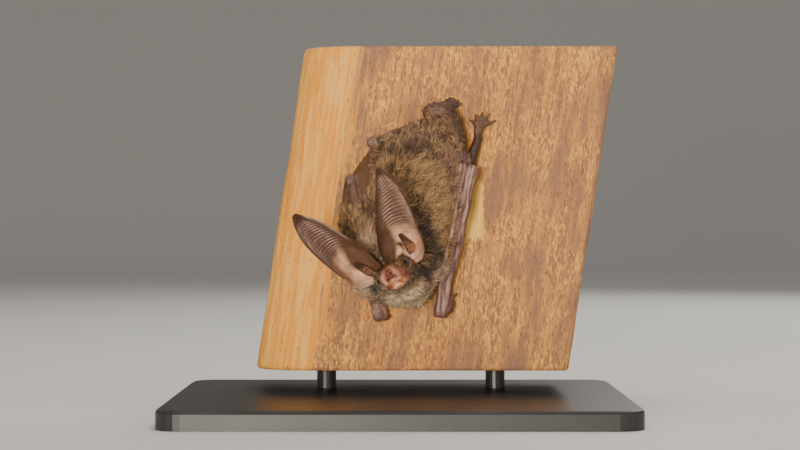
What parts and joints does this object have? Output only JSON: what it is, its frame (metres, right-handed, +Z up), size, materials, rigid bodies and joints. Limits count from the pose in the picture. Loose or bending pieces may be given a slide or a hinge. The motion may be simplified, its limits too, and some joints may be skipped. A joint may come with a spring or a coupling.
{
  "type": "brown long-eared bat model",
  "caption": "Life-size long-eared bat clinging head down to a short length of weathered roof timber, on a plain flat stand.",
  "frame": {"origin": "centre of the stand's underside, at the middle of the whole model's plan", "axes": "+Z up; -Y out of the timber's face, towards the viewer, along the way the bat's back and nose face; +X to the viewer's right, which is the bat's left"},
  "size_m": [0.108, 0.09, 0.088],
  "materials": {
    "fur": "matte grey-brown fur with paler buff tips",
    "face_skin": "bare pinkish skin, slightly moist",
    "ear_skin": "thin satin grey-brown skin",
    "wing_skin": "satin purple-brown skin, finely wrinkled",
    "eye": "wet black gloss",
    "timber": "weathered, unpainted softwood",
    "stand": "satin black paint"
  },
  "bodies": {
    "root": {"trunk": "fur", "neck": "fur", "head": "fur", "thigh_left": "fur", "thigh_right": "fur", "upper_arm_left": "fur", "upper_arm_right": "fur", "muzzle": "face_skin", "nose": "face_skin", "ear_left": "ear_skin", "ear_right": "ear_skin", "tragus_left": "ear_skin", "tragus_right": "ear_skin", "forearm_left": "wing_skin", "forearm_right": "wing_skin", "fingers_left": "wing_skin", "fingers_right": "wing_skin", "thumb_left": "wing_skin", "thumb_right": "wing_skin", "wing_membrane_left": "wing_skin", "wing_membrane_right": "wing_skin", "shank_left": "wing_skin", "shank_right": "wing_skin", "foot_left": "wing_skin", "foot_right": "wing_skin", "tail": "wing_skin", "tail_membrane": "wing_skin", "eye_left": "eye", "eye_right": "eye", "perch_beam": "timber", "stand_base": "stand", "stand_rod_left": "stand", "stand_rod_right": "stand"}
  },
  "joints": []
}
